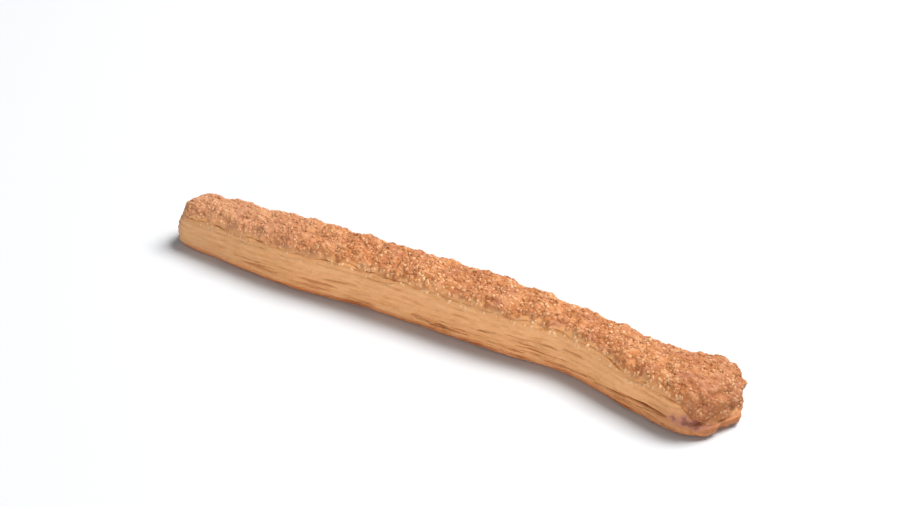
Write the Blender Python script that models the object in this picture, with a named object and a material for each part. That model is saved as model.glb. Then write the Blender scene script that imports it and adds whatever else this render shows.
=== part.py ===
"""A sweet puff pastry stick: a strip of laminated dough baked flat on a tray, with a sugared crust on top.

The stick lies along X with its broad end at +X. The origin is on the tray, under the middle of the stick.
The body starts as a box grid, which is rounded off, shaped along its length, and then given its relief:
ridges where the cut sides show the dough's layers, lumps and pits on the crust, and lobes on the broad end.
The largest sugar grains are fused to the crust.
"""

import math
import random

import bmesh
import bpy
from mathutils import Quaternion, Vector, noise

MM = 0.001

# Overall size of the stick, without its sugar grains.
LENGTH = 191 * MM
WIDTH = 19 * MM
HEIGHT = 16.2 * MM

# Shares of the width and the height, evenly spaced from the narrow end to the broad end.
WIDTH_SHARES = (0.72, 0.85, 0.97, 0.88, 0.95, 0.90, 0.77, 0.91, 1.30)
HEIGHT_SHARES = (0.86, 0.90, 0.95, 0.98, 0.98, 0.99, 0.93, 0.90, 0.92)
# Sideways bow of the strip and backward lean of its sides, at the same places.
BOW = tuple(share * MM for share in (-3.6, -3.4, -2.8, -1.1, 0.4, 0.7, 1.3, -2.6, -3.2))
LEAN = (0.08, 0.10, 0.08, 0.02, -0.02, 0.00, 0.04, 0.08, 0.08)

# How far the rounding reaches in from each face of the box, and how square it stays: seen from above, and
# in section at the bottom and at the top edges.
ROUND_NARROW_END = 5 * MM
ROUND_BROAD_END = 11 * MM
ROUND_WIDTH = 5.5 * MM
ROUND_BROAD_WIDTH = 11 * MM
ROUND_HEIGHT = 4.5 * MM
SQUARE_PLAN = 2.1
SQUARE_BOTTOM = 7.0
SQUARE_TOP = 2.2

# The puffed sides swell out at half height, and the ends a little lower. The broad end is cut at a slant.
SIDE_SWELL = 0.9 * MM
END_SWELL = 2.0 * MM
END_SAG = 0.45
END_SLANT = 0.16

# The crust: its lower rim on the sides, as shares of the stick's height at the same places as the widths, and
# on the broad end, where it hangs down; how ragged the rim is, over what share of the height the crust rises
# to stand proud, how far it does, and its lumps.
RIM_SHARES = (0.76, 0.81, 0.80, 0.83, 0.86, 0.86, 0.86, 0.76, 0.66)
END_RIM = 0.28
RIM_RISE = 0.16
END_REACH = 8 * MM
RIM_WANDER = 0.06
CRUST_STEP = 0.8 * MM
LUMP_SIZE = 7 * MM
LUMP_HEIGHT = 1.2 * MM
PIT_SIZE = 3.4 * MM
PIT_DEPTH = 1.0 * MM

# The dough's layers, seen on the cut sides.
LAYERS = 7.5
LAYER_DEPTH = 0.55 * MM
LAYER_RUN = 17 * MM
LAYER_WANDER = 0.5

# The broad end is cut from folds of dough, which puff into uneven lobes. Two more stand out side by side at
# its foot.
LOBES = 3.4
LOBE_DEPTH = 1.1 * MM
LOBE_REACH = 12 * MM
LOBE_WANDER = 1.1
LOBE_WIDTH = 9 * MM
FOOT_LOBE_DEPTH = 1.3 * MM
FOOT_LOBE_WIDTH = 10 * MM
FOOT_LOBE_PLACE = 3.5 * MM
FOOT_LOBE_HEIGHT = 4.6 * MM

# The tray presses flat what lies lower than the first height. The relief starts at the tray, and is whole at
# the second.
TRAY_FLAT = 0.25 * MM
TRAY_SKIN = 0.6 * MM

# The box grid: faces along the stick, across it and up its sides.
STEPS_ALONG = 66
STEPS_ACROSS = 8
STEPS_UP = 18

# The sugar grains that are large enough to stand out: how many, how long and flat, and how far apart.
GRAINS = 104
GRAIN_SIZE = (1.8 * MM, 2.8 * MM)
GRAIN_FLATNESS = (0.45, 0.7)
GRAIN_GAP = 2.6 * MM
GRAIN_SEED = 7


def smoothstep(low, high, value):
    share = min(max((value - low) / (high - low), 0.0), 1.0)
    return share * share * (3 - 2 * share)


def along(values, a):
    """The value at a, from -1 at the narrow end to 1 at the broad end, on a smooth curve through them all."""
    place = (a + 1) / 2 * (len(values) - 1)
    first = min(max(math.floor(place), 0), len(values) - 2)
    t = place - first
    p0 = values[max(first - 1, 0)]
    p1, p2 = values[first], values[first + 1]
    p3 = values[min(first + 2, len(values) - 1)]
    return p1 + t / 2 * (p2 - p0 + t * (2 * p0 - 5 * p1 + 4 * p2 - p3 + t * (3 * (p1 - p2) + p3 - p0)))


def rounded(point, half, radius, squareness):
    """The point of a box of that half size, moved so that the box's edges and corners are rounded off."""
    core = Vector(min(max(x, r - h), h - r) for x, h, r in zip(point, half, radius))
    out = Vector((x - c) / r for x, c, r in zip(point, core, radius))
    furthest = max(abs(x) for x in out)
    if furthest < 1e-9:
        return point
    plan = (abs(out.x) ** SQUARE_PLAN + abs(out.y) ** SQUARE_PLAN) ** (1 / SQUARE_PLAN)
    spread = (plan ** squareness + abs(out.z) ** squareness) ** (1 / squareness)
    out *= furthest / spread
    return core + Vector(x * r for x, r in zip(out, radius))


def box_grid(across, along_stick, up):
    """A box from -1 to 1 on each axis, cut into a grid of faces."""
    bm = bmesh.new()
    bmesh.ops.create_cube(bm, size=2)
    for axis, faces in ((0, along_stick), (1, across), (2, up)):
        edges = [e for e in bm.edges if abs(e.verts[0].co[axis] - e.verts[1].co[axis]) > 1]
        bmesh.ops.subdivide_edges(bm, edges=edges, cuts=faces - 1, use_grid_fill=True)
    return bm


def body_point(a, b, c):
    """Where a point of the box grid lies on the smooth stick."""
    width = WIDTH * along(WIDTH_SHARES, a)
    height = HEIGHT * along(HEIGHT_SHARES, a)
    half = (LENGTH / 2, width / 2, height / 2)
    round_width = ROUND_WIDTH + (ROUND_BROAD_WIDTH - ROUND_WIDTH) * smoothstep(0.8, 1, a)
    round_end = ROUND_NARROW_END if a < 0 else ROUND_BROAD_END
    radius = (round_end, min(round_width, width / 2 - MM), ROUND_HEIGHT)
    squareness = SQUARE_BOTTOM + (SQUARE_TOP - SQUARE_BOTTOM) * smoothstep(-0.4, 0.4, c)
    x, y, z = rounded(Vector((a * half[0], b * half[1], c * half[2])), half, radius, squareness)
    level = 2 * z / height
    y += SIDE_SWELL * (1 - level * level) * b
    sagged = level + END_SAG
    x += END_SWELL * max(1 - sagged * sagged, 0) * a * abs(a) ** 9 + END_SLANT * y * smoothstep(0.8, 1, a)
    y += along(BOW, a) + along(LEAN, a) * z
    return Vector((x, y, z + height / 2))


def local_height(x):
    return HEIGHT * along(HEIGHT_SHARES, min(max(2 * x / LENGTH, -1), 1))


def crust_rim(x, side):
    """Height of the crust's lower rim, as a share of the stick's height there. It wanders along the stick."""
    rim = along(RIM_SHARES, min(max(2 * x / LENGTH, -1), 1))
    wander = RIM_WANDER * noise.noise(Vector((x / (8 * MM), side * 9.0, 2.7)))
    return rim + wander + (END_RIM - rim) * smoothstep(LENGTH / 2 - END_REACH, LENGTH / 2, x)


def layer_ridge(x, share, side):
    """From -1 in the gap between two layers to 1 on a layer's edge. Layers rise, fall and pinch out."""
    drift = noise.noise(Vector((x / (3 * LAYER_RUN), side * 5.0, share * 1.5)))
    ridge = math.cos(2 * math.pi * (share * LAYERS + LAYER_WANDER * drift))
    strength = 0.65 + 0.6 * noise.noise(Vector((x / LAYER_RUN, side * 5.0, share * LAYERS)))
    return ridge * strength


def end_lobes(point, normal):
    """How far the lobes of the broad end stand out at this point."""
    end = smoothstep(LENGTH / 2 - LOBE_REACH, LENGTH / 2, point.x) * max(normal.x, 0)
    fold = LOBES * point.z / HEIGHT + LOBE_WANDER * noise.noise(point / LOBE_WIDTH)
    lobes = LOBE_DEPTH * abs(math.sin(math.pi * fold))
    low = math.sqrt(max(math.sin(math.pi * min(point.z / FOOT_LOBE_HEIGHT, 1)), 0))
    pair = abs(math.sin(math.pi * (point.y - FOOT_LOBE_PLACE) / FOOT_LOBE_WIDTH))
    return (lobes + FOOT_LOBE_DEPTH * pair * low) * end


def relief(point, normal):
    """How far the surface stands out from the smooth stick at this point."""
    share = point.z / local_height(point.x)
    side = 1.0 if point.y > 0 else -1.0
    rim = crust_rim(point.x, side)
    crust = smoothstep(rim, rim + RIM_RISE, share)
    lumps = noise.noise(point / LUMP_SIZE) * LUMP_HEIGHT
    pits = noise.voronoi(point / PIT_SIZE)[0][0] * PIT_DEPTH
    on_crust = CRUST_STEP + lumps - pits
    on_side = LAYER_DEPTH * layer_ridge(point.x, share, side)
    off_tray = smoothstep(0, TRAY_SKIN, point.z)
    return (crust * on_crust + (1 - crust) * on_side + end_lobes(point, normal)) * off_tray


def stick_body():
    """The whole stick without its grains."""
    bm = box_grid(STEPS_ACROSS, STEPS_ALONG, STEPS_UP)
    for vert in bm.verts:
        vert.co = body_point(*vert.co)
    bm.normal_update()
    for vert, out in [(v, v.normal * relief(v.co, v.normal)) for v in bm.verts]:
        vert.co += out
        if vert.co.z < TRAY_FLAT:
            vert.co.z = 0
    bmesh.ops.dissolve_limit(
        bm,
        angle_limit=math.radians(0.1),
        verts=[v for v in bm.verts if v.co.z < 1e-7],
        edges=[e for e in bm.edges if max(v.co.z for v in e.verts) < 1e-7],
    )
    bmesh.ops.triangulate(bm, faces=bm.faces[:])
    mesh = bpy.data.meshes.new("pastry_stick")
    bm.to_mesh(mesh)
    bm.free()
    return mesh


def crusted(face):
    """Whether a face of the body lies on the crust."""
    side = 1.0 if face.center.y > 0 else -1.0
    share = face.center.z / local_height(face.center.x)
    return share > crust_rim(face.center.x, side) + 0.08 and face.normal.z > -0.2


def sugar_grains(mesh, collection):
    """Flattened crystals, half sunk in the crust, spread over it by a seeded random draw."""
    draw = random.Random(GRAIN_SEED)
    faces = [face for face in mesh.polygons if crusted(face)]
    areas = [face.area for face in faces]
    placed = []
    while len(placed) < GRAINS:
        face = draw.choices(faces, areas)[0]
        if any((face.center - spot).length < GRAIN_GAP for spot in placed):
            continue
        placed.append(face.center.copy())
        size = draw.uniform(*GRAIN_SIZE)
        bpy.ops.mesh.primitive_ico_sphere_add(subdivisions=1, radius=size / 2, location=face.center)
        grain = bpy.context.object
        spin = Quaternion((0, 0, 1), draw.uniform(0, math.tau))
        grain.rotation_mode = "QUATERNION"
        grain.rotation_quaternion = face.normal.to_track_quat("Z", "Y") @ spin
        grain.scale = (1, draw.uniform(0.7, 0.95), draw.uniform(*GRAIN_FLATNESS))
        for owner in grain.users_collection:
            owner.objects.unlink(grain)
        collection.objects.link(grain)


def baked_pastry():
    material = bpy.data.materials.new("baked_pastry")
    material.use_nodes = True
    shader = material.node_tree.nodes["Principled BSDF"]
    shader.inputs["Base Color"].default_value = (0.60, 0.29, 0.12, 1)
    shader.inputs["Roughness"].default_value = 0.55
    shader.inputs["Metallic"].default_value = 0.0
    return material


def set_on_tray(mesh):
    """Puts the origin on the tray, under the middle of the bounding box."""
    lows = [min(v.co[i] for v in mesh.vertices) for i in range(3)]
    highs = [max(v.co[i] for v in mesh.vertices) for i in range(3)]
    for vert in mesh.vertices:
        vert.co.x -= (lows[0] + highs[0]) / 2
        vert.co.y -= (lows[1] + highs[1]) / 2


def main():
    for old in list(bpy.data.objects):
        bpy.data.objects.remove(old, do_unlink=True)
    pastry = bpy.data.collections.new("puff_pastry_stick")
    grains = bpy.data.collections.new("sugar_grains")
    for collection in (pastry, grains):
        bpy.context.scene.collection.children.link(collection)

    body = stick_body()
    sugar_grains(body, grains)
    stick = bpy.data.objects.new("pastry_stick", body)
    pastry.objects.link(stick)
    bpy.context.view_layer.update()

    union = stick.modifiers.new("fuse_grains", "BOOLEAN")
    union.operation = "UNION"
    union.operand_type = "COLLECTION"
    union.collection = grains
    union.solver = "MANIFOLD"
    evaluated = stick.evaluated_get(bpy.context.evaluated_depsgraph_get())
    fused = bpy.data.meshes.new_from_object(evaluated)
    stick.modifiers.clear()
    stick.data = fused
    for grain in list(grains.objects):
        bpy.data.objects.remove(grain, do_unlink=True)
    bpy.data.collections.remove(grains)

    set_on_tray(stick.data)
    stick.data.materials.clear()
    stick.data.materials.append(baked_pastry())
    stick.data.shade_smooth()
    stick.data.set_sharp_from_angle(angle=math.radians(40))


main()
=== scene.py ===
"""A sweet puff pastry stick lying on a pale table.

The sections follow the stick as it is made: the table it lies on, the strip of laminated dough, the flakes
that come loose from its cut sides, the crust that bakes on top, and the sugar strewn over it.
"""

import math
import random

import bmesh
import bpy
from mathutils import Matrix, Quaternion, Vector, noise


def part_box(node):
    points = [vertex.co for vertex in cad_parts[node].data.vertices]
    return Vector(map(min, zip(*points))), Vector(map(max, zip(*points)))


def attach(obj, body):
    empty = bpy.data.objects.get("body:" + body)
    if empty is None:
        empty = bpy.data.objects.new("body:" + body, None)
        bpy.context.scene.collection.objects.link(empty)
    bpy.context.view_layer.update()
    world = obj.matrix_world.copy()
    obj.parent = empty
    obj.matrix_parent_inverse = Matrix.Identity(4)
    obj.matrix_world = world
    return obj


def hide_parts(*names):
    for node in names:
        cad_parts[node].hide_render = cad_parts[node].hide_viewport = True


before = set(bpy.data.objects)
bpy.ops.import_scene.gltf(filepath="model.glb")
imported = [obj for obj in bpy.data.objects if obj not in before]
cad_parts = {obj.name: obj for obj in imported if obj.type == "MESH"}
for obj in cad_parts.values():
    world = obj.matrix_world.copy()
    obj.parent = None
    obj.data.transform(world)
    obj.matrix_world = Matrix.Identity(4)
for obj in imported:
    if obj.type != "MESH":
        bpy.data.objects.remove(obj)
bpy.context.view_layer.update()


# ---- The table, the light and the camera ----
# A smooth, matt, near-white table under one large soft lamp, which hangs behind the stick and to its right.
# A broad reflector stands low in front and lights the side towards the camera. The room's white walls fill
# in the rest.

MM = 0.001
TABLE_SIZE = 8.0
CAMERA_AZIMUTH = math.radians(35)
CAMERA_HEIGHT = math.radians(29)
CAMERA_DISTANCE = 620 * MM
CAMERA_AIM = Vector((2.3, 0.0, 24.3)) * MM
CAMERA_LENS = 85
# Each lamp: its name, its width in metres, its power in watts, and where it hangs.
LAMPS = (
    ("soft_lamp", 0.9, 48, Vector((0.45, 0.75, 1.35))),
    ("low_reflector", 0.45, 10.5, Vector((0.42, -1.10, 0.12))),
)
ROOM_LIGHT = 0.26
ROOM_TINT = (0.86, 0.95, 1.0, 1.0)
TABLE_WHITE = "CDCDCE"


def linear(colour):
    """A hex sRGB colour as linear red, green, blue and alpha."""
    parts = [int(colour[i:i + 2], 16) / 255 for i in (0, 2, 4)]
    return (*(p / 12.92 if p <= 0.04045 else ((p + 0.055) / 1.055) ** 2.4 for p in parts), 1.0)


def add_node(tree, kind, inputs=(), **settings):
    """Adds a node, makes its settings, and fills its inputs with values or with other nodes' outputs."""
    made = tree.nodes.new(kind)
    for name, value in settings.items():
        setattr(made, name, value)
    for key, value in dict(inputs).items():
        if isinstance(value, bpy.types.NodeSocket):
            tree.links.new(value, made.inputs[key])
        else:
            made.inputs[key].default_value = value
    return made


scene = bpy.context.scene
scene.view_settings.view_transform = "Standard"

# White melamine laminate with a matt press finish: an even near-white without gloss.
bpy.ops.mesh.primitive_plane_add(size=TABLE_SIZE)
table = bpy.context.object
table.name = "table_top"
laminate = bpy.data.materials.new("matt_white_laminate")
laminate.use_nodes = True
surface = laminate.node_tree.nodes["Principled BSDF"]
surface.inputs["Base Color"].default_value = linear(TABLE_WHITE)
surface.inputs["Roughness"].default_value = 0.9
table.data.materials.append(laminate)

room = bpy.data.worlds.new("white_room")
room.use_nodes = True
room.node_tree.nodes["Background"].inputs["Color"].default_value = ROOM_TINT
room.node_tree.nodes["Background"].inputs["Strength"].default_value = ROOM_LIGHT
scene.world = room

for name, size, power, spot in LAMPS:
    lamp = bpy.data.objects.new(name, bpy.data.lights.new(name, "AREA"))
    lamp.data.size = size
    lamp.data.energy = power
    lamp.location = spot
    lamp.rotation_euler = spot.to_track_quat("Z", "Y").to_euler()
    scene.collection.objects.link(lamp)

camera = bpy.data.objects.new("camera", bpy.data.cameras.new("camera"))
camera.data.lens = CAMERA_LENS
towards_camera = Vector((
    math.sin(CAMERA_AZIMUTH) * math.cos(CAMERA_HEIGHT),
    -math.cos(CAMERA_AZIMUTH) * math.cos(CAMERA_HEIGHT),
    math.sin(CAMERA_HEIGHT),
))
camera.location = CAMERA_AIM + towards_camera * CAMERA_DISTANCE
camera.rotation_euler = towards_camera.to_track_quat("Z", "Y").to_euler()
camera.data.clip_start = 0.01
scene.collection.objects.link(camera)
scene.camera = camera


# ---- The strip of dough ----
# Butter dough, folded and rolled into many thin sheets and cut into a strip. In the oven the sheets puff
# and part, so the cut sides show their edges as thin wavy lines, with long fissures where two came apart.

# The strip. Each list runs from its narrow end to its broad end: the widths and heights as shares, the
# sideways bow, and the lean of the cut sides.
LENGTH = 191 * MM
WIDTH = 19 * MM
HEIGHT = 16.2 * MM
WIDTH_SHARES = (0.72, 0.85, 0.97, 0.88, 0.95, 0.90, 0.77, 0.91, 1.30)
HEIGHT_SHARES = (0.86, 0.90, 0.95, 0.98, 0.98, 0.99, 0.93, 0.90, 0.92)
BOW = tuple(share * MM for share in (-3.6, -3.4, -2.8, -1.1, 0.4, 0.7, 1.3, -2.6, -3.2))
LEAN = (0.08, 0.10, 0.08, 0.02, -0.02, 0.00, 0.04, 0.08, 0.08)
ROUND_NARROW_END = 5 * MM
ROUND_BROAD_END = 11 * MM
ROUND_WIDTH = 5.5 * MM
ROUND_BROAD_WIDTH = 11 * MM
ROUND_HEIGHT = 4.5 * MM
BROAD_END_FROM = 0.8
# How square the rounded edges are: 2 is a true round, and more is squarer.
SQUARE_PLAN = 2.1
SQUARE_BOTTOM = 7.0
SQUARE_TOP = 2.2
SQUARE_BLEND = 0.4
SIDE_SWELL = 0.9 * MM
END_SWELL = 2.0 * MM
END_SAG = 0.45
END_SLANT = 0.16
# The underside, baked flat on the tray: all relief fades out in the skin, and the lowest part is pressed flat.
TRAY_SKIN = 0.6 * MM
TRAY_FLAT = 0.25 * MM
# The crust's lower rim, as shares of the height. Over the face of the broad end it drops to the end's own.
RIM_SHARES = (0.76, 0.81, 0.80, 0.83, 0.86, 0.86, 0.86, 0.76, 0.66)
END_RIM = 0.20
END_REACH = 8 * MM
RIM_WANDER = 0.06
RIM_WANDER_RUN = 8 * MM
# Under the crust the dough is kept in by this much, and the crust's rim is tucked in by as much.
CRUST_TUCK = 0.9 * MM
TUCK_BLEND = 0.06

# The sheets of dough: how thick they are, and how they slope, ripple and crowd, each over a length or a
# length and a height.
SHEET = 0.72 * MM
SHEET_SLOPE = 0.9 * MM
SLOPE_RUN = 42 * MM
SHEET_RIPPLE = 0.45 * MM
RIPPLE_RUN = (8 * MM, 5 * MM)
SHEET_CROWDING = 0.9
CROWDING_RUN = (19 * MM, 2.3 * MM)
# How far an edge stands out or back, more so near the foot, and how the baked crumb swells between.
EDGE_OUT = 0.13 * MM
FOOT_OUT = 0.24 * MM
FOOT_REACH = (1.5 * MM, 6 * MM)
EDGE_RUN = 9 * MM
SHORT_EDGE_RUN = EDGE_RUN / 4
SHORT_EDGE_SHARE = 0.35
EDGE_BLEND = 0.42
SOFT_SWELL = 0.30 * MM
SOFT_SWELL_SIZE = 6.5 * MM
SOFT_SWELL_STRETCH = 1.6
CRUMB_SWELL = 0.16 * MM
CRUMB_SWELL_SIZE = 2.4 * MM
# The longest fissures, in millimetres: where each starts and ends along the stick, its height at both, and
# how wide and deep it is against the others.
FISSURES = (
    (-64, -53, 3.2, 4.2, 0.8), (-36, -24, 6.8, 8.0, 1), (-29, -19, 4.6, 5.8, 0.8),
    (-22, -10, 11.4, 12.4, 0.8), (2, 14, 3.6, 4.4, 1), (18, 25, 6.4, 7.3, 1),
    (27, 45, 8.0, 7.8, 1.2), (42, 55, 1.9, 3.2, 1.2), (42, 62, 14.0, 13.6, 1),
    (46, 53, 8.6, 8.9, 1), (57, 73, 2.8, 4.4, 1.5), (72, 85, 4.2, 4.7, 1.8),
)
FISSURE_WIDTH = 0.30 * MM
FISSURE_DEPTH = 0.36 * MM
FISSURE_WAVER = 0.5
FISSURE_WAVER_RUN = 5 * MM
# The folds, whose edges swell out in broad ridges, and the lobes of the broad end, with a pair at its foot.
FOLDS = 7.5
FOLD_SWELL = 0.16 * MM
FOLD_RUN = 17 * MM
FOLD_DRIFT = 0.5
FOLD_DRIFT_RUN = 3 * FOLD_RUN
FOLD_EVEN = 0.65
FOLD_UNEVEN = 0.6
LOBES = 3.4
LOBE_DEPTH = 1.1 * MM
LOBE_REACH = 12 * MM
END_FACE_REACH = LOBE_REACH / 2
LOBE_WANDER = 1.1
LOBE_WIDTH = 9 * MM
FOOT_LOBE_DEPTH = 1.3 * MM
FOOT_LOBE_WIDTH = 10 * MM
FOOT_LOBE_PLACE = 3.5 * MM
FOOT_LOBE_HEIGHT = 4.6 * MM
END_TOAST = 1.5
END_TOAST_FROM = (0.8 * MM, 2.8 * MM)
DOUGH_STEPS = (10, 400, 92)


def smoothstep(low, high, value):
    """A share that rises from 0 at low to 1 at high, eased at both."""
    share = min(max((value - low) / (high - low), 0.0), 1.0)
    return share * share * (3 - 2 * share)


def along(values, a):
    """The value at a, from -1 at the narrow end to 1 at the broad one, on a smooth curve through them."""
    place = (a + 1) / 2 * (len(values) - 1)
    first = min(max(math.floor(place), 0), len(values) - 2)
    t = place - first
    p0 = values[max(first - 1, 0)]
    p1, p2 = values[first], values[first + 1]
    p3 = values[min(first + 2, len(values) - 1)]
    return p1 + t / 2 * (p2 - p0 + t * (2 * p0 - 5 * p1 + 4 * p2 - p3 + t * (3 * (p1 - p2) + p3 - p0)))


def rounded(point, half, radius, squareness):
    """The point of a box of that half size, moved so that the box's edges and corners are rounded off."""
    core = Vector(min(max(x, r - h), h - r) for x, h, r in zip(point, half, radius))
    out = Vector((x - c) / r for x, c, r in zip(point, core, radius))
    furthest = max(abs(x) for x in out)
    if furthest < 1e-9:
        return point
    plan = (abs(out.x) ** SQUARE_PLAN + abs(out.y) ** SQUARE_PLAN) ** (1 / SQUARE_PLAN)
    spread = (plan ** squareness + abs(out.z) ** squareness) ** (1 / squareness)
    out *= furthest / spread
    return core + Vector(x * r for x, r in zip(out, radius))


def stick_point(a, b, c):
    """Where a point of a box from -1 to 1 on each axis lies on the smooth stick."""
    width = WIDTH * along(WIDTH_SHARES, a)
    height = HEIGHT * along(HEIGHT_SHARES, a)
    half = (LENGTH / 2, width / 2, height / 2)
    broad = smoothstep(BROAD_END_FROM, 1, a)
    round_width = ROUND_WIDTH + (ROUND_BROAD_WIDTH - ROUND_WIDTH) * broad
    round_end = ROUND_NARROW_END if a < 0 else ROUND_BROAD_END
    radius = (round_end, min(round_width, width / 2 - MM), ROUND_HEIGHT)
    squareness = SQUARE_BOTTOM + (SQUARE_TOP - SQUARE_BOTTOM) * smoothstep(-SQUARE_BLEND, SQUARE_BLEND, c)
    x, y, z = rounded(Vector((a * half[0], b * half[1], c * half[2])), half, radius, squareness)
    level = 2 * z / height
    y += SIDE_SWELL * (1 - level * level) * b
    sagged = level + END_SAG
    x += END_SWELL * max(1 - sagged * sagged, 0) * a * abs(a) ** 9 + END_SLANT * y * broad
    y += along(BOW, a) + along(LEAN, a) * z
    return Vector((x, y, z + height / 2))


# A plain number beside a place in a noise only sets its pattern off from the others, and from the same one
# on the other cut side.
def crust_rim(x, side):
    """Height of the crust's lower rim, as a share of the stick's height. It wanders along the stick."""
    rim = along(RIM_SHARES, min(max(2 * x / LENGTH, -1), 1))
    wander = RIM_WANDER * noise.noise(Vector((x / RIM_WANDER_RUN, side * 9.0, 2.7)))
    return rim + wander + (END_RIM - rim) * smoothstep(LENGTH / 2 - END_REACH, LENGTH / 2, x)


def local_height(x):
    """Height of the smooth stick at a place along it."""
    return HEIGHT * along(HEIGHT_SHARES, min(max(2 * x / LENGTH, -1), 1))


def box_of_grids(across, along_stick, up, underside):
    """The sides of a box from -1 to 1 on each axis, each cut into a grid, welded at their edges."""
    half_turn = math.pi
    quarter = math.pi / 2
    sides = [
        (along_stick, across, Matrix()),
        (along_stick, up, Matrix.Rotation(quarter, 4, "X")),
        (along_stick, up, Matrix.Rotation(-quarter, 4, "X")),
        (up, across, Matrix.Rotation(quarter, 4, "Y")),
        (up, across, Matrix.Rotation(-quarter, 4, "Y")),
    ]
    if underside:
        sides.append((along_stick, across, Matrix.Rotation(half_turn, 4, "X")))
    bm = bmesh.new()
    for x_faces, y_faces, turn in sides:
        place = turn @ Matrix.Translation((0, 0, 1))
        bmesh.ops.create_grid(bm, x_segments=x_faces, y_segments=y_faces, size=1, matrix=place)
    bmesh.ops.remove_doubles(bm, verts=bm.verts, dist=1e-5)
    return bm


def sheet_lift(x, z, side):
    """How far the sheets have risen or sagged at a point of a cut side."""
    slope = SHEET_SLOPE * noise.noise(Vector((x / SLOPE_RUN, side * 4.0, 0.3)))
    ripple = SHEET_RIPPLE * noise.noise(Vector((x / RIPPLE_RUN[0], z / RIPPLE_RUN[1], side * 8.0)))
    crowding = noise.noise(Vector((x / CROWDING_RUN[0], z / CROWDING_RUN[1], side * 6.0)))
    return slope + ripple + SHEET_CROWDING * SHEET * crowding


def fissure(x, z, side):
    """How deep in a long fissure a point lies, from 0 outside. The back has the same ones end for end."""
    place = -side * x / MM
    deepest = 0.0
    for start, end, first, last, strength in FISSURES:
        if start < place < end:
            share = (place - start) / (end - start)
            waver = FISSURE_WAVER * noise.noise(Vector((x / FISSURE_WAVER_RUN, first, side)))
            middle = (first + (last - first) * share + waver) * MM
            width = FISSURE_WIDTH * strength * math.sqrt(4 * share * (1 - share))
            deepest = max(deepest, strength * math.exp(-((z - middle) / (width + 1e-6)) ** 2))
    return deepest


def sheet_edge(x, y, z, side):
    """For a point of a cut side: how far it stands out, how deep in a fissure, its sheet, how toasted."""
    place = (z + sheet_lift(x, z, side)) / SHEET
    sheet = math.floor(place)
    t = place - sheet
    foot = 1 - smoothstep(*FOOT_REACH, z)
    reach = EDGE_OUT + FOOT_OUT * foot
    edges = []
    for k in (sheet - 1, sheet, sheet + 1):
        long_run = noise.noise(Vector((x / EDGE_RUN, 3.7 * k, 11.0 * side)))
        short_run = noise.noise(Vector((x / SHORT_EDGE_RUN, 3.7 * k, 11.0 * side + 50)))
        edges.append(reach * (long_run + SHORT_EDGE_SHARE * short_run))
    if t < 0.5:
        out = edges[1] + (edges[0] - edges[1]) * 0.5 * (1 - smoothstep(0, EDGE_BLEND, t))
    else:
        out = edges[1] + (edges[2] - edges[1]) * 0.5 * smoothstep(1 - EDGE_BLEND, 1, t)
    # How deep in a fissure: this sinks the relief and also sets the painted shade there.
    gap_and_shade = fissure(x, z, side)
    swell = CRUMB_SWELL * noise.noise(Vector((x, y, z)) / CRUMB_SWELL_SIZE)
    swell += SOFT_SWELL * noise.noise(Vector((x / SOFT_SWELL_STRETCH, y, z)) / SOFT_SWELL_SIZE)
    return out + swell - FISSURE_DEPTH * gap_and_shade, gap_and_shade, place, edges[1] / reach


def fold_swell(x, share, side):
    """The broad ridges that the folds of the dough make on the cut sides."""
    drift = noise.noise(Vector((x / FOLD_DRIFT_RUN, side * 5.0, share * 1.5)))
    ridge = math.cos(2 * math.pi * (share * FOLDS + FOLD_DRIFT * drift))
    strength = FOLD_EVEN + FOLD_UNEVEN * noise.noise(Vector((x / FOLD_RUN, side * 5.0, share * FOLDS)))
    return FOLD_SWELL * ridge * strength


def end_lobes(point, normal):
    """How far the uneven lobes of the broad end stand out at a point."""
    end = smoothstep(LENGTH / 2 - LOBE_REACH, LENGTH / 2, point.x) * max(normal.x, 0)
    fold = LOBES * point.z / HEIGHT + LOBE_WANDER * noise.noise(point / LOBE_WIDTH)
    lobes = LOBE_DEPTH * abs(math.sin(math.pi * fold))
    low = math.sqrt(max(math.sin(math.pi * min(point.z / FOOT_LOBE_HEIGHT, 1)), 0))
    pair = abs(math.sin(math.pi * (point.y - FOOT_LOBE_PLACE) / FOOT_LOBE_WIDTH))
    return (lobes + FOOT_LOBE_DEPTH * pair * low) * end


def new_piece(name, bm, values):
    """A smooth-shaded mesh object from the mesh data, with a named number on each of its points."""
    mesh = bpy.data.meshes.new(name)
    bm.to_mesh(mesh)
    bm.free()
    for key, numbers in values.items():
        mesh.attributes.new(key, "FLOAT", "POINT").data.foreach_set("value", numbers)
    mesh.shade_smooth()
    piece = bpy.data.objects.new(name, mesh)
    scene.collection.objects.link(piece)
    return piece


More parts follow.
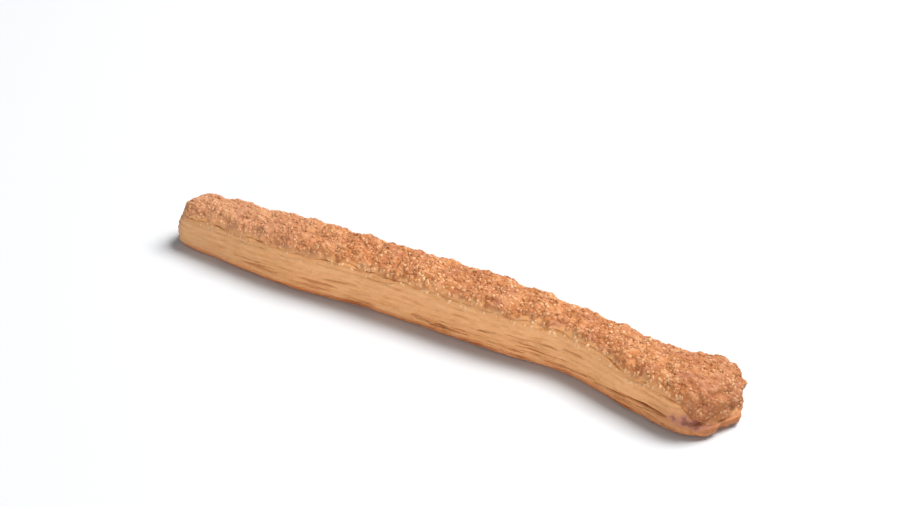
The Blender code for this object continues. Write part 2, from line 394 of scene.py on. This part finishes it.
def laminated_dough():
    """The whole strip, with the edges of its sheets on all sides. Its top is kept low, under the crust."""
    bm = box_of_grids(*DOUGH_STEPS, underside=True)
    for vert in bm.verts:
        vert.co = stick_point(*vert.co)
    bm.normal_update()
    moves, gaps_and_shade, sheets, rims, toasts = [], [], [], [], []
    for vert in bm.verts:
        x, y, z = vert.co
        side = 1.0 if y > 0 else -1.0
        share = z / local_height(x)
        rim = crust_rim(x, side)
        out, gap_and_shade, place, toast = sheet_edge(x, y, z, side)
        under_crust = smoothstep(rim, rim + TUCK_BLEND, share)
        shape = (1 - under_crust) * (out + fold_swell(x, share, side)) - under_crust * CRUST_TUCK
        shape += end_lobes(vert.co, vert.normal)
        moves.append(vert.normal * shape * smoothstep(0, TRAY_SKIN, z))
        gaps_and_shade.append(gap_and_shade)
        sheets.append(place)
        rims.append(share / rim)
        at_end = smoothstep(LENGTH / 2 - END_FACE_REACH, LENGTH / 2, x) * max(vert.normal.x, 0)
        toasts.append(toast + END_TOAST * at_end * smoothstep(*END_TOAST_FROM, z))
    for vert, move in zip(bm.verts, moves):
        vert.co += move
        if vert.co.z < TRAY_FLAT:
            vert.co.z = 0
    values = {"gap_and_shade": gaps_and_shade, "sheet": sheets, "height_to_rim": rims, "toast": toasts}
    return new_piece("dough_layers", bm, values)


dough = laminated_dough()

# Baked butter dough: dry and matt, pale tan on the cut sides, more golden on the edges that stand out,
# orange brown at the foot, which touched the hot tray, and darkest, with painted shade, where the sheets part.
# It is duller towards the narrow end and has patchy painted shade low on the broad end, where one spot is
# burnt. Its crumb is a fine grain.
DOUGH_PALE = "E0A875"
DOUGH_TAN = "D39761"
DOUGH_TOAST = "C68248"
DOUGH_DULL = "C0966E"
DOUGH_FOOT = "C26F39"
DOUGH_BROWN = "A5602F"
DOUGH_END_SHADE = "9F6746"
DOUGH_GAP_SHADE = "935A22"
DOUGH_BURNT = "A46F61"
DOUGH_CHARRED = "7A4235"
CRUMB = 0.6 * MM
MOTTLE = 1.8 * MM
BLOTCH = 12 * MM
# Streaks run along the sheets, and fibres along the streaks, shorter and thinner.
STREAK_LENGTH = 5 * MM
STREAK_SCALE = 0.75
FIBRE_SCALE = 1.6
FIBRE_SHARES = (2.2, 2.2, 0.8)
GAP_SCALE = 0.75
GAP_EDGE = (0.3, 0.05)
# Where along the stick, or at what height, each of these begins and is complete.
DRY_DOUGH = (-75 * MM, -30 * MM)
DULL_DOUGH = (-50 * MM, -90 * MM)
NARROW_TIP = (-96 * MM, -98.3 * MM)
FOOT_BROWN = (5 * MM, 0.5 * MM)
BROAD_END = (70 * MM, 88 * MM)
BROAD_END_LOW = (10 * MM, 4.5 * MM)
# The burnt spot: its middle, how far it reaches on each axis, and how ragged it is.
BURNT_PLACE = Vector((LENGTH / 2 - 5 * MM, -12.5 * MM, 5.0 * MM))
BURNT_REACH = Vector((6.5 * MM, 6 * MM, 2.0 * MM))
BURNT_RAGGED = 2.8


def browned_colour(tree, colour, rows):
    """Browns a colour by rows: what decides it, from where to where, how much, and to what colour."""
    for driver, start, end, most, shade in rows:
        share = add_node(tree, "ShaderNodeMapRange", {0: driver, 1: start, 2: end, 4: most}).outputs[0]
        mix = {0: share, 6: colour, 7: linear(shade)}
        colour = add_node(tree, "ShaderNodeMix", mix, data_type="RGBA").outputs[2]
    return colour


baked_dough = bpy.data.materials.new("baked_butter_dough")
baked_dough.use_nodes = True
tree = baked_dough.node_tree
shader = tree.nodes["Principled BSDF"]
place = add_node(tree, "ShaderNodeTexCoord").outputs["Object"]
axes = add_node(tree, "ShaderNodeSeparateXYZ", {0: place}).outputs
sheet = add_node(tree, "ShaderNodeAttribute", attribute_name="sheet").outputs["Fac"]
# Painted shade in the fissures and under the flakes.
gap_and_shade = add_node(tree, "ShaderNodeAttribute", attribute_name="gap_and_shade").outputs["Fac"]
rim = add_node(tree, "ShaderNodeAttribute", attribute_name="height_to_rim").outputs["Fac"]
toast = add_node(tree, "ShaderNodeAttribute", attribute_name="toast").outputs["Fac"]
run = add_node(tree, "ShaderNodeMath", {0: axes["X"], 1: STREAK_LENGTH}, operation="DIVIDE").outputs[0]
depth = add_node(tree, "ShaderNodeMath", {0: axes["Y"], 1: STREAK_LENGTH}, operation="DIVIDE").outputs[0]
crumb = add_node(tree, "ShaderNodeTexNoise", {"Vector": place, "Scale": 1 / CRUMB, "Detail": 3}).outputs[0]
mottle = add_node(tree, "ShaderNodeTexNoise", {"Vector": place, "Scale": 1 / MOTTLE, "Detail": 3}).outputs[0]
blotch = add_node(tree, "ShaderNodeTexNoise", {"Vector": place, "Scale": 1 / BLOTCH, "Detail": 3}).outputs[0]

# The streaks and fibres of the sheets.
streak_place = add_node(tree, "ShaderNodeCombineXYZ", {0: run, 1: depth, 2: sheet}).outputs[0]
streak_look = {"Vector": streak_place, "Scale": STREAK_SCALE, "Detail": 5, "Roughness": 0.6}
streak = add_node(tree, "ShaderNodeTexNoise", streak_look).outputs[0]
fibre_stretch = {0: streak_place, 1: FIBRE_SHARES}
fibre_place = add_node(tree, "ShaderNodeVectorMath", fibre_stretch, operation="MULTIPLY").outputs[0]
fibre_look = {"Vector": fibre_place, "Scale": FIBRE_SCALE, "Detail": 4, "Roughness": 0.7}
fibre = add_node(tree, "ShaderNodeTexNoise", fibre_look).outputs[0]

# Painted shade in short partings between two sheets, also sunk as grooves in the relief: along their
# shared edge, where they are loose, and most where dry.
nearest = add_node(tree, "ShaderNodeMath", {0: sheet}, operation="ROUND").outputs[0]
off_edge = add_node(tree, "ShaderNodeMath", {0: sheet, 1: nearest}, operation="SUBTRACT").outputs[0]
off_edge = add_node(tree, "ShaderNodeMath", {0: off_edge}, operation="ABSOLUTE").outputs[0]
at_edge = add_node(tree, "ShaderNodeMapRange", {0: off_edge, 1: GAP_EDGE[0], 2: GAP_EDGE[1]}).outputs[0]
gap_place = add_node(tree, "ShaderNodeCombineXYZ", {0: run, 1: depth, 2: nearest}).outputs[0]
gap_look = {"Vector": gap_place, "Scale": GAP_SCALE, "Detail": 1}
here_and_there = add_node(tree, "ShaderNodeTexNoise", gap_look).outputs[0]
open_share = add_node(tree, "ShaderNodeMapRange", {0: here_and_there, 1: 0.54, 2: 0.66}).outputs[0]
loose = add_node(tree, "ShaderNodeMapRange", {0: blotch, 1: 0.42, 2: 0.58}).outputs[0]
dry_range = {0: axes["X"], 1: DRY_DOUGH[0], 2: DRY_DOUGH[1], 3: 0.25}
dry = add_node(tree, "ShaderNodeMapRange", dry_range).outputs[0]
parting_shade_and_groove = at_edge
for share in (open_share, loose, dry):
    parting_shade_and_groove = add_node(tree, "ShaderNodeMath", {0: parting_shade_and_groove, 1: share}, operation="MULTIPLY").outputs[0]

# The burnt spot, with a ragged outline.
burn = add_node(tree, "ShaderNodeVectorMath", {0: place, 1: BURNT_PLACE}, operation="SUBTRACT").outputs[0]
burn = add_node(tree, "ShaderNodeVectorMath", {0: burn, 1: BURNT_REACH}, operation="DIVIDE").outputs[0]
from_burn = add_node(tree, "ShaderNodeVectorMath", {0: burn}, operation="LENGTH").outputs["Value"]
ragged = {0: mottle, 1: BURNT_RAGGED, 2: from_burn}
from_burn = add_node(tree, "ShaderNodeMath", ragged, operation="MULTIPLY_ADD").outputs[0]

# The foot of the sides, which is browner, and patchy painted shade on the lower part of the broad end.
foot = add_node(tree, "ShaderNodeMapRange", {0: axes["Z"], 1: FOOT_BROWN[0], 2: FOOT_BROWN[1]}).outputs[0]
foot = add_node(tree, "ShaderNodeMath", {0: foot, 1: streak}, operation="ADD").outputs[0]
end_shade = add_node(tree, "ShaderNodeMapRange", {0: mottle, 1: 0.4, 2: 0.6, 3: 0.4}).outputs[0]
for axis, (start, end) in (("X", BROAD_END), ("Z", BROAD_END_LOW)):
    share = add_node(tree, "ShaderNodeMapRange", {0: axes[axis], 1: start, 2: end}).outputs[0]
    end_shade = add_node(tree, "ShaderNodeMath", {0: end_shade, 1: share}, operation="MULTIPLY").outputs[0]

colour = browned_colour(tree, linear(DOUGH_PALE), (
    (streak, 0.34, 0.66, 0.8, DOUGH_TAN),
    (axes["X"], *DULL_DOUGH, 0.5, DOUGH_DULL),
    (toast, 0.1, 0.6, 0.3, DOUGH_TOAST),
    (toast, 0.5, 1.2, 0.9, DOUGH_BROWN),
    (blotch, 0.5, 0.8, 0.35, DOUGH_TOAST),
    (rim, 0.86, 1.04, 0.4, DOUGH_TOAST),
    (foot, 1.0, 1.5, 0.9, DOUGH_FOOT),
    # Patchy painted shade low on the broad end.
    (end_shade, 0.0, 1.0, 0.85, DOUGH_END_SHADE),
    (axes["X"], *NARROW_TIP, 0.7, DOUGH_BROWN),
    # A wide ring round the burnt spot: part browning, part painted shade where the side turns down at the
    # corner.
    (from_burn, 3.8, 2.4, 0.3, DOUGH_BROWN),
    (from_burn, 2.6, 2.1, 0.8, DOUGH_BURNT),
    (from_burn, 2.1, 1.7, 0.8, DOUGH_CHARRED),
    (fibre, 0.5, 0.72, 0.6, DOUGH_TOAST),
    (crumb, 0.5, 0.8, 0.3, DOUGH_TOAST),
    # Painted shade where the sheets part, in the fissures and under the flakes.
    (parting_shade_and_groove, 0.0, 1.0, 0.30, DOUGH_GAP_SHADE),
    (gap_and_shade, 0.06, 1.5, 0.58, DOUGH_GAP_SHADE),
))
tree.links.new(colour, shader.inputs["Base Color"])
crumb_relief = {"Height": crumb, "Strength": 0.5, "Distance": 0.12 * MM}
relief = add_node(tree, "ShaderNodeBump", crumb_relief).outputs[0]
fibre_relief = {"Height": fibre, "Strength": 0.45, "Distance": 0.25 * MM, "Normal": relief}
relief = add_node(tree, "ShaderNodeBump", fibre_relief).outputs[0]
gap_relief = {"Height": parting_shade_and_groove, "Strength": 0.5, "Distance": 0.2 * MM, "Normal": relief}
relief = add_node(tree, "ShaderNodeBump", gap_relief, invert=True).outputs[0]
tree.links.new(relief, shader.inputs["Normal"])
shader.inputs["Roughness"].default_value = 0.68
shader.inputs["Specular IOR Level"].default_value = 0.35
shader.inputs["Subsurface Weight"].default_value = 0.12
shader.inputs["Subsurface Radius"].default_value = (1.0, 0.5, 0.25)
shader.inputs["Subsurface Scale"].default_value = 0.8 * MM
dough.data.materials.append(baked_dough)


# ---- The flakes ----
# Where the sheets part, their edges stand out of the cut sides as thin shelves, a seventh of a millimetre
# thick and half a millimetre deep or so, in the lower half. They are the same dough, baked crisp, with
# painted shade on their undersides.

FLAKES = 220
FLAKE_LENGTH = (5 * MM, 20 * MM)
FLAKE_REACH = (0.15 * MM, 0.6 * MM)
FLAKE_ROOT = 0.9 * MM
FLAKE_THICK = 0.14 * MM
FLAKE_RAGGED_RUN = 1.7 * MM
FLAKE_CURL = (-0.35, 0.45)
FLAKE_TOAST = (-0.2, 0.7)
# Their places: along the stick from -1 to 1, and up to the rim from 0 to 1, the lower of two draws.
FLAKE_PLACES = (-0.72, 0.90)
FLAKE_LEVELS = ((0.04, 0.9), (0.04, 0.5))
# Their roots keep to this part of the cut side, off the rounded ends and edges.
ROOT_END = 0.97
ROOT_FOOT = -0.93
ROOT_TOP = 0.9
FLAKE_STEPS = 12
FLAKE_SEED = 5


def crisp_flakes():
    """All flakes in one mesh: each is a thin shelf with a ragged edge, which follows its sheet."""
    draw = random.Random(FLAKE_SEED)
    bm = bmesh.new()
    gaps_and_shade, sheets, rims, toasts = [], [], [], []
    for _ in range(FLAKES):
        side = draw.choice((-1.0, 1.0))
        middle = draw.uniform(*FLAKE_PLACES)
        length = draw.uniform(*FLAKE_LENGTH)
        start_x = middle * LENGTH / 2
        rim = crust_rim(start_x, side)
        level = local_height(start_x) * rim * min(draw.uniform(*levels) for levels in FLAKE_LEVELS)
        reach = draw.uniform(*FLAKE_REACH)
        curl = draw.uniform(*FLAKE_CURL)
        tone = draw.uniform(*FLAKE_TOAST)
        root_lift = sheet_lift(start_x, level, side)
        sections = []
        for step in range(FLAKE_STEPS + 1):
            u = 2 * step / FLAKE_STEPS - 1
            a = middle + u * length / LENGTH
            x = a * LENGTH / 2
            z = level + root_lift - sheet_lift(x, level, side)
            height = HEIGHT * along(HEIGHT_SHARES, min(max(a, -1), 1))
            up = min(max(2 * z / height - 1, ROOT_FOOT), ROOT_TOP)
            root = stick_point(min(max(a, -ROOT_END), ROOT_END), side, up)
            full = math.sqrt(max(1 - u * u, 0))
            ragged = 0.7 + 0.9 * noise.noise(Vector((x / FLAKE_RAGGED_RUN, level / MM, side)))
            out = reach * full * max(ragged, 0.15)
            thick = FLAKE_THICK * (0.3 + 0.7 * full)
            tip = root + Vector((0, side * out, curl * out))
            inner = root - Vector((0, side * FLAKE_ROOT, 0))
            ring = (
                inner + Vector((0, 0, thick)),
                tip + Vector((0, -side * thick, thick / 2)),
                tip,
                tip + Vector((0, -side * thick, -thick / 2)),
                inner - Vector((0, 0, thick)),
            )
            sections.append([bm.verts.new(point) for point in ring])
            # Painted shade under each flake, darkest at its root.
            gaps_and_shade.extend((0, 0, 0, 0.25, 0.6))
            sheets.extend([level / SHEET + 0.2 * i for i in range(5)])
            rims.extend([level / local_height(start_x) / rim] * 5)
            toasts.extend((0, tone * 0.6, tone, tone, 0.3))
        for first, second in zip(sections, sections[1:]):
            for i in range(5):
                j = (i + 1) % 5
                corners = (first[i], second[i], second[j], first[j])
                bm.faces.new(corners if side < 0 else corners[::-1])
        bm.faces.new(sections[0] if side < 0 else sections[0][::-1])
        bm.faces.new(sections[-1][::-1] if side < 0 else sections[-1])
    bm.normal_update()
    values = {"gap_and_shade": gaps_and_shade, "sheet": sheets, "height_to_rim": rims, "toast": toasts}
    return new_piece("crisp_flakes", bm, values)


flakes = crisp_flakes()
flakes.data.materials.append(baked_dough)


# ---- The crust ----
# The top sheets dry out, brown and blister, and the sugar on them melts and sets as caramel. The crust
# stands proud of the cut sides, thins out softly towards its ragged rim, and hangs down over the broad end.

CRUST_STEP = 0.8 * MM
LUMP_SIZE = 7 * MM
LUMP_HEIGHT = 1.2 * MM
PIT_SIZE = 3.4 * MM
PIT_DEPTH = 1.0 * MM
BLISTER_SIZE = 2.2 * MM
BLISTER_HEIGHT = 0.16 * MM
# How rough the blisters are, how much finer each of their scales is than the last, and how many there are.
BLISTER_DETAIL = (0.8, 2.1, 3)
# Beads of half-melted sugar: domes whose outlines are bent a little out of true.
BEAD_SIZE = 1.9 * MM
BEAD_HEIGHT = 0.36 * MM
BEAD_WIDTH = 0.74
BEAD_BEND = 0.25 * MM
BEAD_BEND_SIZE = 1.1 * MM
# The rim: how ragged it is, and how far from it the crust is thinner and bears fewer beads.
RIM_RAGGED = 0.14
RIM_RAGGED_RUN = 4 * MM
LOWEST_RIM = -0.97
RIM_ROWS = 4
RIM_STEP = 0.1 * MM
RIM_FADE = 4 * MM
BEAD_FADE = 3 * MM
FADE_WANDER = 2.0 * MM
FADE_WANDER_RUN = 1.8 * MM
THIN_PATCH = 6 * MM
# Painted shade at the broad end: over this stretch towards that end, and more the lower it hangs.
END_SHADE_FROM = (76 * MM, 90 * MM)
END_SHADE_BELOW = (9 * MM, 15 * MM)
CRUST_STEPS = (72, 620, 30)


def end_shading(point):
    """How much painted shade the crust gets at a point: only at the broad end, and most low down."""
    low_down = 1 - smoothstep(*END_SHADE_BELOW, point.z)
    return smoothstep(*END_SHADE_FROM, point.x) * (0.5 + 0.5 * low_down)


def crust_relief(point, cover):
    """For a point of the crust: how far it stands out, its painted shade, how much of a bead, its tone."""
    lumps = noise.noise(point / LUMP_SIZE) * LUMP_HEIGHT
    pits = noise.voronoi(point / PIT_SIZE)[0][0] * PIT_DEPTH
    blisters = noise.fractal(point / BLISTER_SIZE, *BLISTER_DETAIL)
    bend = Vector(noise.noise(point / BEAD_BEND_SIZE + Vector((k, k, k))) for k in (0, 31, 67))
    distances, centres = noise.voronoi((point + bend * BEAD_BEND) / BEAD_SIZE)
    # Each bead has two lots of its own: whether it is there, and how pale and high it is.
    lot, tone = (noise.cell(centres[0] * number) / 2 + 0.5 for number in (7.3, 12.1))
    dome = math.sqrt(max(1 - (distances[0] / BEAD_WIDTH) ** 2, 0))
    bead = dome * smoothstep(-0.15, 0.15, cover - lot)
    out = CRUST_STEP + lumps - pits + BLISTER_HEIGHT * blisters + BEAD_HEIGHT * (0.6 + 0.6 * tone) * bead
    # Painted shade: from about 0 on a blister or a bead to about 1 deep between them.
    hollow_shade = 0.45 - 0.35 * blisters + 0.4 * (0.65 - bead) * cover
    return out, hollow_shade, bead, tone


def baked_crust():
    """The crust, as a closed slab whose ragged rim is tucked into the cut sides."""
    across, along_stick, up = CRUST_STEPS
    bm = box_of_grids(across, along_stick, up, underside=False)
    rows, rims = [], []
    for vert in bm.verts:
        a, b, c = vert.co
        smooth = stick_point(a, b, 0)
        side = 1.0 if smooth.y > 0 else -1.0
        low = 2 * crust_rim(smooth.x, side) - 1
        low += RIM_RAGGED * noise.noise(Vector((smooth.x, smooth.y, 1.9 * MM)) / RIM_RAGGED_RUN)
        low = max(low, LOWEST_RIM)
        vert.co = stick_point(a, b, low + (1 - low) * (c + 1) / 2)
        rows.append((c + 1) / 2 * up)
        rims.append(stick_point(a, side if abs(a) < 1 else b, low))
    bm.normal_update()
    moves, hollow_shades, bares, tones, end_shade = [], [], [], [], []
    for vert, row, rim in zip(bm.verts, rows, rims):
        at_end = smoothstep(LENGTH / 2 - END_FACE_REACH, LENGTH / 2, vert.co.x)
        from_rim = (vert.co - rim).length * (1 + at_end)
        from_rim += FADE_WANDER * noise.noise(vert.co / FADE_WANDER_RUN)
        fade = smoothstep(0, RIM_FADE, from_rim)
        cover = smoothstep(0, BEAD_FADE, from_rim) * (0.85 + 0.5 * noise.noise(vert.co / THIN_PATCH))
        out, hollow_shade, bead, tone = crust_relief(vert.co, cover)
        clear = smoothstep(0, RIM_ROWS, row)
        out = (RIM_STEP + (out - RIM_STEP) * fade) * clear - CRUST_TUCK * (1 - clear)
        out += end_lobes(vert.co, vert.normal)
        moves.append(vert.normal * out * smoothstep(0, TRAY_SKIN, vert.co.z))
        hollow_shades.append(hollow_shade)
        bares.append(1 - cover)
        tones.append(bead * tone)
        # Painted shade at the broad end.
        end_shade.append(end_shading(vert.co))
    for vert, move in zip(bm.verts, moves):
        vert.co += move
        vert.co.z = max(vert.co.z, 0)
    rim_edges = [edge for edge in bm.edges if edge.is_boundary]
    bmesh.ops.holes_fill(bm, edges=rim_edges, sides=0)
    values = {"hollow_shade": hollow_shades, "bare": bares, "tone": tones, "end_shade": end_shade}
    return new_piece("sugar_crust", bm, values)


crust = baked_crust()

# Caramel on brown baked dough: golden where it is thin and paler on the beads of sugar, with reddish brown
# painted shade in the dips between them and at the broad end. It is a hard skin with a low, uneven gloss,
# duller towards the narrow end.
CARAMEL_SHADE = "864A21"
CARAMEL = "AC6733"
CARAMEL_GOLD = "BB753D"
CARAMEL_RUDDY = "9C5A44"
CARAMEL_DULL = "B98562"
SUGAR_PALE = "C3895E"
CARAMEL_BLOTCH = 8 * MM
CARAMEL_SPECKLE = 1.4 * MM
DULL_CARAMEL = (-34 * MM, -70 * MM)

caramel = bpy.data.materials.new("caramelised_sugar_crust")
caramel.use_nodes = True
tree = caramel.node_tree
shader = tree.nodes["Principled BSDF"]
place = add_node(tree, "ShaderNodeTexCoord").outputs["Object"]
axes = add_node(tree, "ShaderNodeSeparateXYZ", {0: place}).outputs
tone = add_node(tree, "ShaderNodeAttribute", attribute_name="tone").outputs["Fac"]
end_shade = add_node(tree, "ShaderNodeAttribute", attribute_name="end_shade").outputs["Fac"]
hollow_shade = add_node(tree, "ShaderNodeAttribute", attribute_name="hollow_shade").outputs["Fac"]
bare = add_node(tree, "ShaderNodeAttribute", attribute_name="bare").outputs["Fac"]
blotch_look = {"Vector": place, "Scale": 1 / CARAMEL_BLOTCH, "Detail": 4}
blotch = add_node(tree, "ShaderNodeTexNoise", blotch_look).outputs[0]
speckle_look = {"Vector": place, "Scale": 1 / CARAMEL_SPECKLE, "Detail": 2}
speckle = add_node(tree, "ShaderNodeTexNoise", speckle_look).outputs[0]
colour = browned_colour(tree, linear(CARAMEL), (
    (blotch, 0.42, 0.66, 1.0, CARAMEL_GOLD),
    (blotch, 0.52, 0.34, 0.7, CARAMEL_RUDDY),
    (tone, 0.2, 0.9, 0.8, SUGAR_PALE),
    (axes["X"], *DULL_CARAMEL, 0.6, CARAMEL_DULL),
    # Painted shade at the broad end, and in the dips between beads and blisters.
    (end_shade, 0.0, 1.0, 0.5, CARAMEL_SHADE),
    (hollow_shade, 0.45, 1.05, 0.8, CARAMEL_SHADE),
    (bare, 0.3, 1.0, 0.85, DOUGH_TAN),
))
tree.links.new(colour, shader.inputs["Base Color"])
gloss = add_node(tree, "ShaderNodeMapRange", {0: speckle, 1: 0.4, 2: 0.7, 3: 0.8, 4: 0.58}).outputs[0]
tree.links.new(gloss, shader.inputs["Roughness"])
speckle_relief = {"Height": speckle, "Strength": 0.4, "Distance": 0.2 * MM}
relief = add_node(tree, "ShaderNodeBump", speckle_relief).outputs[0]
tree.links.new(relief, shader.inputs["Normal"])
shader.inputs["Subsurface Weight"].default_value = 0.05
shader.inputs["Subsurface Radius"].default_value = (1.0, 0.45, 0.2)
shader.inputs["Subsurface Scale"].default_value = 0.7 * MM
crust.data.materials.append(caramel)


# ---- The sugar ----
# Coarse white sugar, strewn on before baking: blocky crystals one to two millimetres long, rounded by
# melting and sunk in the caramel, in drifts. A few have rolled onto the cut sides, just below the rim.

CRYSTALS = 8000
CRYSTAL_SIZE = (0.9 * MM, 2.0 * MM)
# How far it tips off its bed, in radians.
CRYSTAL_TILT = 0.35
# As shares of a crystal's size: how much melting leaves of it, its width and height, how deep it lies, and
# its dents.
CRYSTAL_MELTED = (0.75, 1)
CRYSTAL_WIDTH = (0.65, 0.95)
CRYSTAL_HEIGHT = (0.5, 0.8)
CRYSTAL_LIFT = (-0.30, -0.10)
CRYSTAL_DENT = (0.90, 1.07)
CRYSTAL_SEED = 12
# A bed is a face of the crust. One that looks down holds no sugar, and a larger one only closes the slab.
BED_SLOPE = -0.35
LARGEST_BED = MM * MM
DRIFT = 7 * MM
DRIFT_SHARE = 0.3
# Where the crust is bare, the first share of the crystals is gone, and the rest are paler by the second.
BARE_LOSS = 0.8
BARE_PALER = 0.7
# The lower the first number, the more crystals are well towards amber. The second makes patches of them.
AMBER_POWER = 0.45
AMBER_PATCHES = 0.3
AMBER_PATCH = 9 * MM
# The crystals on the cut sides: how far below the rim and how high above the table they lie, on faces how
# steep, and how many, how amber and how raised they are against the others.
SPILL_REACH = 3 * MM
SPILL_ABOVE = 6 * MM
SPILL_SLOPE = 0.8
SPILL_SHARE = 0.22
SPILL_AMBER = 0.1
SPILL_LIFT = 0.06


def sugar_beds():
    """The faces a crystal can lie on, each with how amber it gets there and how raised, and their weights."""
    beds, weights = [], []
    for face in crust.data.polygons:
        if face.normal.z < BED_SLOPE or face.area > LARGEST_BED:
            continue
        bare = crust.data.attributes["bare"].data[face.vertices[0]].value
        drift = smoothstep(-0.4, 0.25, noise.noise(face.center / DRIFT))
        beds.append((face, 1 - BARE_PALER * bare, 0))
        drifted = (1 - DRIFT_SHARE) + DRIFT_SHARE * drift
        weights.append(face.area * (1 - BARE_LOSS * min(bare, 1)) * drifted)
    for face in dough.data.polygons:
        x, y, z = face.center
        below = crust_rim(x, 1.0 if y > 0 else -1.0) * local_height(x) - z
        if 0 < below < SPILL_REACH and z > SPILL_ABOVE and abs(face.normal.z) < SPILL_SLOPE:
            beds.append((face, SPILL_AMBER, SPILL_LIFT))
            weights.append(face.area * SPILL_SHARE * (1 - below / SPILL_REACH) ** 2)
    return beds, weights


def sugar_crystals():
    """All crystals in one mesh. Each is a dented lump of twenty facets, sunk in its bed."""
    draw = random.Random(CRYSTAL_SEED)
    lump = bmesh.new()
    bmesh.ops.create_icosphere(lump, subdivisions=1, radius=0.5)
    corners = [v.co.copy() for v in lump.verts]
    facets = [[v.index for v in face.verts] for face in lump.faces]
    lump.free()
    bm = bmesh.new()
    tones, end_shade = [], []
    beds, weights = sugar_beds()
    for bed, amber, lift in draw.choices(beds, weights, k=CRYSTALS):
        size = draw.uniform(*CRYSTAL_SIZE) * draw.uniform(*CRYSTAL_MELTED)
        stretch = Vector((1, draw.uniform(*CRYSTAL_WIDTH), draw.uniform(*CRYSTAL_HEIGHT))) * size
        turn = bed.normal.to_track_quat("Z", "Y") @ Quaternion((0, 0, 1), draw.uniform(0, math.tau))
        turn = turn @ Quaternion((1, 0, 0), draw.gauss(0, CRYSTAL_TILT))
        middle = bed.center + bed.normal * size * (lift + draw.uniform(*CRYSTAL_LIFT))
        patch = noise.noise(bed.center / AMBER_PATCH + Vector((5, 5, 5)))
        tone = amber * (draw.random() ** AMBER_POWER + AMBER_PATCHES * patch)
        made = []
        for corner in corners:
            dented = corner * draw.uniform(*CRYSTAL_DENT)
            made.append(bm.verts.new(middle + turn @ Vector(d * s for d, s in zip(dented, stretch))))
        tones.extend([tone] * len(made))
        # Painted shade at the broad end, as on the crust.
        end_shade.extend([end_shading(bed.center)] * len(made))
        for facet in facets:
            bm.faces.new([made[i] for i in facet])
    return new_piece("sugar_crystals", bm, {"tone": tones, "end_shade": end_shade})


sugar = sugar_crystals()

# Crystal sugar, half melted and stained by the caramel: cream to amber, duller towards the narrow end and
# with painted shade at the broad one. Melting has dulled and rounded its facets, so it glints little.
CRYSTAL_CREAM = "DEAE80"
CRYSTAL_AMBER = "AD6C3F"
CRYSTAL_SHADE = "8A563A"

crystal = bpy.data.materials.new("crystal_sugar")
crystal.use_nodes = True
tree = crystal.node_tree
shader = tree.nodes["Principled BSDF"]
place = add_node(tree, "ShaderNodeTexCoord").outputs["Object"]
axes = add_node(tree, "ShaderNodeSeparateXYZ", {0: place}).outputs
tone = add_node(tree, "ShaderNodeAttribute", attribute_name="tone").outputs["Fac"]
end_shade = add_node(tree, "ShaderNodeAttribute", attribute_name="end_shade").outputs["Fac"]
colour = browned_colour(tree, linear(CRYSTAL_CREAM), (
    (tone, 0.05, 0.75, 1.0, CRYSTAL_AMBER),
    # Painted shade at the broad end.
    (end_shade, 0.0, 1.0, 0.38, CRYSTAL_SHADE),
    (axes["X"], *DULL_CARAMEL, 0.5, CARAMEL_DULL),
))
tree.links.new(colour, shader.inputs["Base Color"])
shader.inputs["Roughness"].default_value = 0.72
shader.inputs["Specular IOR Level"].default_value = 0.28
shader.inputs["IOR"].default_value = 1.54
shader.inputs["Subsurface Weight"].default_value = 0.1
shader.inputs["Subsurface Radius"].default_value = (1.0, 0.6, 0.4)
shader.inputs["Subsurface Scale"].default_value = 0.5 * MM
sugar.data.materials.append(crystal)


# ---- The stick, whole ----
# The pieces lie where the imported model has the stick: on the table, the crust in the middle of its box.

low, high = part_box("pastry_stick")
made_low = Vector(min(v.co[i] for v in crust.data.vertices) for i in range(3))
made_high = Vector(max(v.co[i] for v in crust.data.vertices) for i in range(3))
shift = (low + high) / 2 - (made_low + made_high) / 2
shift.z = 0
for piece in (dough, flakes, crust, sugar):
    piece.data.transform(Matrix.Translation(shift))
    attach(piece, "root")
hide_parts("pastry_stick")
